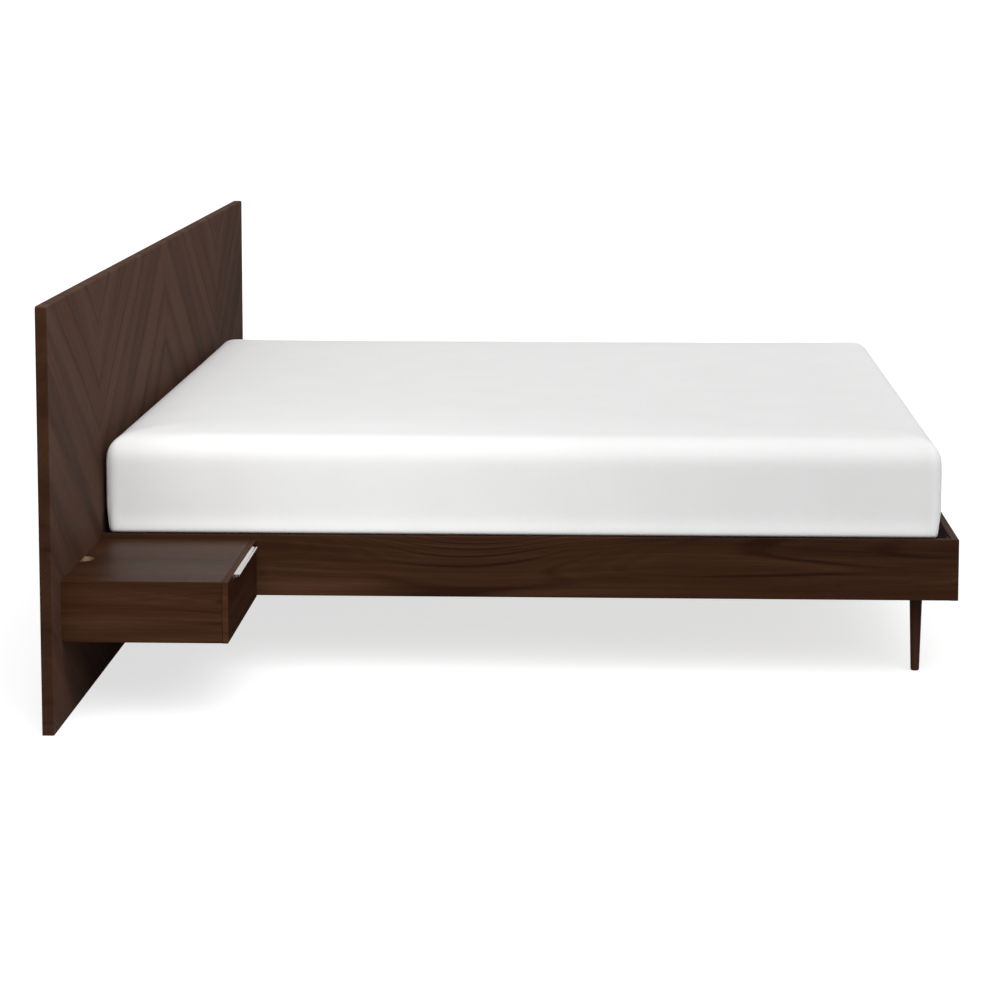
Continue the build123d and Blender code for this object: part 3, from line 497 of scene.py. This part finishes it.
def soft_block(name, low, high, hem=None):
    """A mesh in the mattress's shape between two corners. With hem, its underside is
    only a band of that width, which leaves the middle open."""
    centre = Vector(((low.x + high.x) / 2, (low.y + high.y) / 2, 0))
    half_x, half_y = (high.x - low.x) / 2, (high.y - low.y) / 2
    xs, ys = spread(-half_x, half_x, STEP), spread(-half_y, half_y, STEP)
    above = [RAIL_TOP + rise for rise in (0.0012, 0.0035)]
    zs = spread(low.z, RAIL_TOP, STEP) + above + spread(RAIL_TOP + 0.014, high.z, STEP)
    work = bmesh.new()
    made = {}

    def vertex(i, j, k):
        if (i, j, k) in made:
            return made[i, j, k]
        x, y = round_corner(xs[i], ys[j], half_x, half_y)
        out, inside = plan_edge(x, y, half_x, half_y)
        z = zs[k]
        on_side = i in (0, len(xs) - 1) or j in (0, len(ys) - 1)
        point = Vector((x, y, z))
        drop = high.z - z
        if k == len(zs) - 1 and inside < TOP_ROUND:
            angle = (1 - inside / TOP_ROUND) * math.pi / 4
            point += out * (inside - TOP_ROUND * (1 - math.sin(angle)))
            point.z = high.z - TOP_ROUND * (1 - math.cos(angle))
        elif on_side and drop < TOP_ROUND:
            angle = math.pi / 2 - (1 - drop / TOP_ROUND) * math.pi / 4
            point -= out * TOP_ROUND * (1 - math.sin(angle))
            point.z = high.z - TOP_ROUND * (1 - math.cos(angle))
        if on_side or (k == len(zs) - 1 and inside < TOP_ROUND):
            point += set_in(out, point.z)
        if k == 0:
            point += set_in(out, low.z) * max(0.0, 1 - inside / 0.1)
        made[i, j, k] = work.verts.new(point + centre)
        return made[i, j, k]

    def face(*corners):
        work.faces.new([vertex(*corner) for corner in corners])

    last_i, last_j, last_k = len(xs) - 1, len(ys) - 1, len(zs) - 1
    for i in range(last_i):
        for j in range(last_j):
            face((i, j, last_k), (i + 1, j, last_k), (i + 1, j + 1, last_k), (i, j + 1, last_k))
            margin = min(i, j, last_i - 1 - i, last_j - 1 - j)
            if hem is None or margin < round(hem / STEP):
                face((i, j, 0), (i, j + 1, 0), (i + 1, j + 1, 0), (i + 1, j, 0))
    for k in range(last_k):
        for i in range(last_i):
            face((i, 0, k), (i + 1, 0, k), (i + 1, 0, k + 1), (i, 0, k + 1))
            face((i, last_j, k), (i, last_j, k + 1), (i + 1, last_j, k + 1), (i + 1, last_j, k))
        for j in range(last_j):
            face((0, j, k), (0, j, k + 1), (0, j + 1, k + 1), (0, j + 1, k))
            face((last_i, j, k), (last_i, j + 1, k), (last_i, j + 1, k + 1), (last_i, j, k + 1))
    bmesh.ops.recalc_face_normals(work, faces=work.faces)
    mesh = bpy.data.meshes.new(name)
    work.to_mesh(mesh)
    work.free()
    mesh.shade_smooth()
    piece = bpy.data.objects.new(name, mesh)
    scene.collection.objects.link(piece)
    return piece


def inflate(piece, pressure, cap, frames=14):
    """Lets cloth under air pressure find the piece's swell. It is held below the rails'
    tops, and no point ends further than the cap from where it was."""
    held = piece.vertex_groups.new(name="held")
    for vertex in piece.data.vertices:
        hold = min(1.0, max(0.0, (RAIL_TOP + 0.045 - vertex.co.z) / 0.03))
        held.add([vertex.index], hold, "REPLACE")
    cloth = piece.modifiers.new("cloth", "CLOTH")
    cloth.settings.quality = 5
    cloth.settings.mass = 0.3
    cloth.settings.tension_stiffness = 40
    cloth.settings.compression_stiffness = 40
    cloth.settings.bending_stiffness = 2
    cloth.settings.vertex_group_mass = "held"
    cloth.settings.use_pressure = True
    cloth.settings.uniform_pressure_force = pressure
    cloth.settings.effector_weights.gravity = 0
    cloth.point_cache.frame_end = frames
    for frame_number in range(1, frames + 1):
        scene.frame_set(frame_number)
    swollen = piece.evaluated_get(bpy.context.evaluated_depsgraph_get())
    moved = [vertex.co.copy() for vertex in swollen.data.vertices]
    piece.modifiers.clear()
    piece.vertex_groups.clear()
    scene.frame_set(1)
    for vertex, place in zip(piece.data.vertices, moved):
        move = place - vertex.co
        if move.length > 1e-7:
            vertex.co += move * (cap * math.tanh(move.length / cap) / move.length)


def subdivide(piece):
    finer = piece.modifiers.new("finer", "SUBSURF")
    finer.levels = finer.render_levels = 1


SHEET_CLEARANCE = 0.0035
mattress = soft_block(
    "mattress_body",
    mattress_low + Vector((SHEET_CLEARANCE, SHEET_CLEARANCE, 0.002)),
    mattress_high - Vector((SHEET_CLEARANCE, SHEET_CLEARANCE, SHEET_CLEARANCE)),
)
mattress.data.materials.append(ticking)
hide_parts("mattress")
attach(mattress, "root")

sheet = soft_block("fitted_sheet_cloth", sheet_low + Vector((0, 0, -0.0012)), sheet_high, hem=0.11)
sheet.data.materials.append(sheet_cotton)
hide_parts("fitted_sheet")
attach(sheet, "root")

inflate(mattress, 3.0, 0.005)
inflate(sheet, 3.0, 0.006)

# The sheet isn't drawn quite evenly over the long edges: its top edge waves a little.
for vertex in sheet.data.vertices:
    height = vertex.co.z - (sheet_high.z - 0.09)
    if height > 0:
        share = min(1.0, height / 0.07)
        wave = noise.noise(Vector((vertex.co.x * 3.1, vertex.co.y * 3.1, 4.0)))
        small = noise.noise(Vector((vertex.co.x * 9.0, vertex.co.y * 9.0, 9.0)))
        vertex.co.z += share * (0.0012 * wave + 0.0004 * small)
subdivide(mattress)
subdivide(sheet)


# --- Corner seams of the sheet --------------------------------------------------------

SEAM_HALF_WIDTH = 0.0022
SEAM_PROFILE = ((-1.0, -0.0004), (-0.7, 0.0005), (0.0, 0.0009), (0.7, 0.0005), (1.0, -0.0004))
STITCH_PITCH = 0.0036
STITCH_LENGTH = 0.0024
STITCH_RADIUS = 0.00028
STITCH_SIDES = 6


def surface(piece):
    """A tree to look points up on the piece's finished surface."""
    finished = piece.evaluated_get(bpy.context.evaluated_depsgraph_get())
    return BVHTree.FromObject(finished, bpy.context.evaluated_depsgraph_get())


def corner_line(tree, sign_x, sign_y, step):
    """Points and outward directions down one corner of the sheet."""
    centre_y = (sheet_low.y + sheet_high.y) / 2
    end_y = centre_y + sign_y * (sheet_high.y - sheet_low.y) / 2
    inward = Vector((-sign_x, -sign_y, 0)).normalized()
    line = []
    z = sheet_high.z - 0.022
    while z > RAIL_TOP + 0.004:
        start = Vector((sign_x * sheet_high.x, end_y, z)) - inward * 0.2
        place, normal, _, _ = tree.ray_cast(start, inward)
        line.append((place, normal))
        z -= step
    return line


def tube_between(work, start, end, normal):
    """One stitch: a short six-sided thread with tapered ends."""
    along = (end - start).normalized()
    across = along.cross(normal).normalized()
    rings = []
    for share, size in ((0.0, 0.35), (0.2, 1.0), (0.8, 1.0), (1.0, 0.35)):
        centre = start.lerp(end, share)
        ring = []
        for i in range(STITCH_SIDES):
            turn = 2 * math.pi * i / STITCH_SIDES
            out = across * math.cos(turn) + normal * math.sin(turn)
            ring.append(work.verts.new(centre + out * STITCH_RADIUS * size))
        rings.append(ring)
    join_rings(work, rings)


def join_rings(work, rings):
    count = len(rings[0])
    for ring, following in zip(rings, rings[1:]):
        for i in range(count):
            j = (i + 1) % count
            work.faces.new((ring[i], ring[j], following[j], following[i]))
    work.faces.new(list(reversed(rings[0])))
    work.faces.new(rings[-1])


def mesh_piece(name, work, material, body):
    """Finishes a bmesh as a smooth-shaded piece that rides on a body."""
    bmesh.ops.recalc_face_normals(work, faces=work.faces)
    mesh = bpy.data.meshes.new(name)
    work.to_mesh(mesh)
    work.free()
    mesh.shade_smooth()
    mesh.materials.append(material)
    piece = bpy.data.objects.new(name, mesh)
    scene.collection.objects.link(piece)
    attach(piece, body)
    return piece


tree = surface(sheet)
seams = bmesh.new()
for sign_x in (-1, 1):
    for sign_y in (-1, 1):
        line = corner_line(tree, sign_x, sign_y, 0.006)
        rings = []
        befores, afters = [line[0], *line], [*line[1:], line[-1]]
        for (place, normal), (before, _), (after, _) in zip(line, befores, afters):
            side_way = (after - before).normalized().cross(normal).normalized()
            rings.append([
                seams.verts.new(place + side_way * share * SEAM_HALF_WIDTH + normal * lift)
                for share, lift in SEAM_PROFILE
            ])
        join_rings(seams, rings)
        stitches = corner_line(tree, sign_x, sign_y, STITCH_PITCH)
        for (place, normal), (following, _) in zip(stitches, stitches[1:]):
            way = (following - place).normalized()
            side_way = way.cross(normal).normalized()
            start = place + side_way * (SEAM_HALF_WIDTH + 0.0012) + normal * 0.0001
            tube_between(seams, start, start + way * STITCH_LENGTH, normal)
seam_piece = mesh_piece("sheet_corner_seams", seams, sheet_cotton, "root")

# --- Floor, light and camera ----------------------------------------------------------

FLOOR_SIZE = 60
FLOOR_GREY = (0.42, 0.42, 0.42, 1)
FLOOR_GLOW = 0.70  # what the camera sees on top of the light that falls on the floor
bpy.ops.mesh.primitive_plane_add(size=FLOOR_SIZE, location=(0, 0, -0.0005))
floor = bpy.context.object
floor.name = "floor"
floor_paint = Shader("pale_floor")
floor_paint.set(Base_Color=FLOOR_GREY, Roughness=0.9, Specular_IOR_Level=0.0)
seen_floor = floor_paint.node("LightPath").outputs["Is Camera Ray"]
floor_paint.set(Emission_Color=(1, 1, 1, 1))
floor_paint.set(Emission_Strength=floor_paint.math("MULTIPLY", seen_floor, FLOOR_GLOW))
floor.data.materials.append(floor_paint.material)

BACKDROP_WHITE = 1.06
FILL_LIGHT = 0.44  # how bright the studio round the object is, beside the backdrop

world = bpy.data.worlds.new("studio")
scene.world = world
world.use_nodes = True
world_nodes, world_links = world.node_tree.nodes, world.node_tree.links
backdrop = world_nodes["Background"]
backdrop.inputs["Strength"].default_value = BACKDROP_WHITE
fill = world_nodes.new("ShaderNodeBackground")
fill.inputs["Strength"].default_value = FILL_LIGHT
for light_source in (backdrop, fill):
    light_source.inputs["Color"].default_value = (1, 1, 1, 1)
seen = world_nodes.new("ShaderNodeLightPath")
choose = world_nodes.new("ShaderNodeMixShader")
world_links.new(seen.outputs["Is Camera Ray"], choose.inputs[0])
world_links.new(fill.outputs[0], choose.inputs[1])
world_links.new(backdrop.outputs[0], choose.inputs[2])
world_links.new(choose.outputs[0], world_nodes["World Output"].inputs["Surface"])

key_light = bpy.data.lights.new("key", "SUN")
key_light.energy = 2.42
key_light.angle = math.radians(60)
key = bpy.data.objects.new("key", key_light)
scene.collection.objects.link(key)
KEY_TRAVEL = Vector((0.56, 0.19, -0.78))  # the way the key's light goes
key.rotation_euler = KEY_TRAVEL.to_track_quat("-Z", "Y").to_euler()

head_light = bpy.data.lights.new("head_fill", "AREA")
head_light.shape = "SQUARE"
head_light.size = 1.2
head_light.energy = 3
head_light.spread = math.radians(80)
head_fill = bpy.data.objects.new("head_fill", head_light)
scene.collection.objects.link(head_fill)
head_fill.location = (-2.7, 0.3, 1.3)
head_fill.visible_camera = False
towards_corner = Vector((-RAIL_X, HEADBOARD_FRONT - 0.1, 0.42)) - head_fill.location
head_fill.rotation_euler = towards_corner.to_track_quat("-Z", "Y").to_euler()

CAMERA_PLACE = Vector((-7.62, -0.2207, 1.6286))
CAMERA_YAW = math.radians(2.165)
CAMERA_PITCH = math.radians(6.168)
camera_data = bpy.data.cameras.new("camera")
camera_data.lens = 100.55
camera_data.sensor_width = 36
camera_data.shift_x = -0.01
camera_data.shift_y = -0.20
camera_data.clip_end = 200
camera = bpy.data.objects.new("camera", camera_data)
scene.collection.objects.link(camera)
camera.location = CAMERA_PLACE
level = math.cos(CAMERA_PITCH)
look = Vector((math.cos(CAMERA_YAW) * level, math.sin(CAMERA_YAW) * level, -math.sin(CAMERA_PITCH)))
camera.rotation_euler = look.to_track_quat("-Z", "Y").to_euler()
scene.camera = camera
scene.view_settings.view_transform = "Standard"
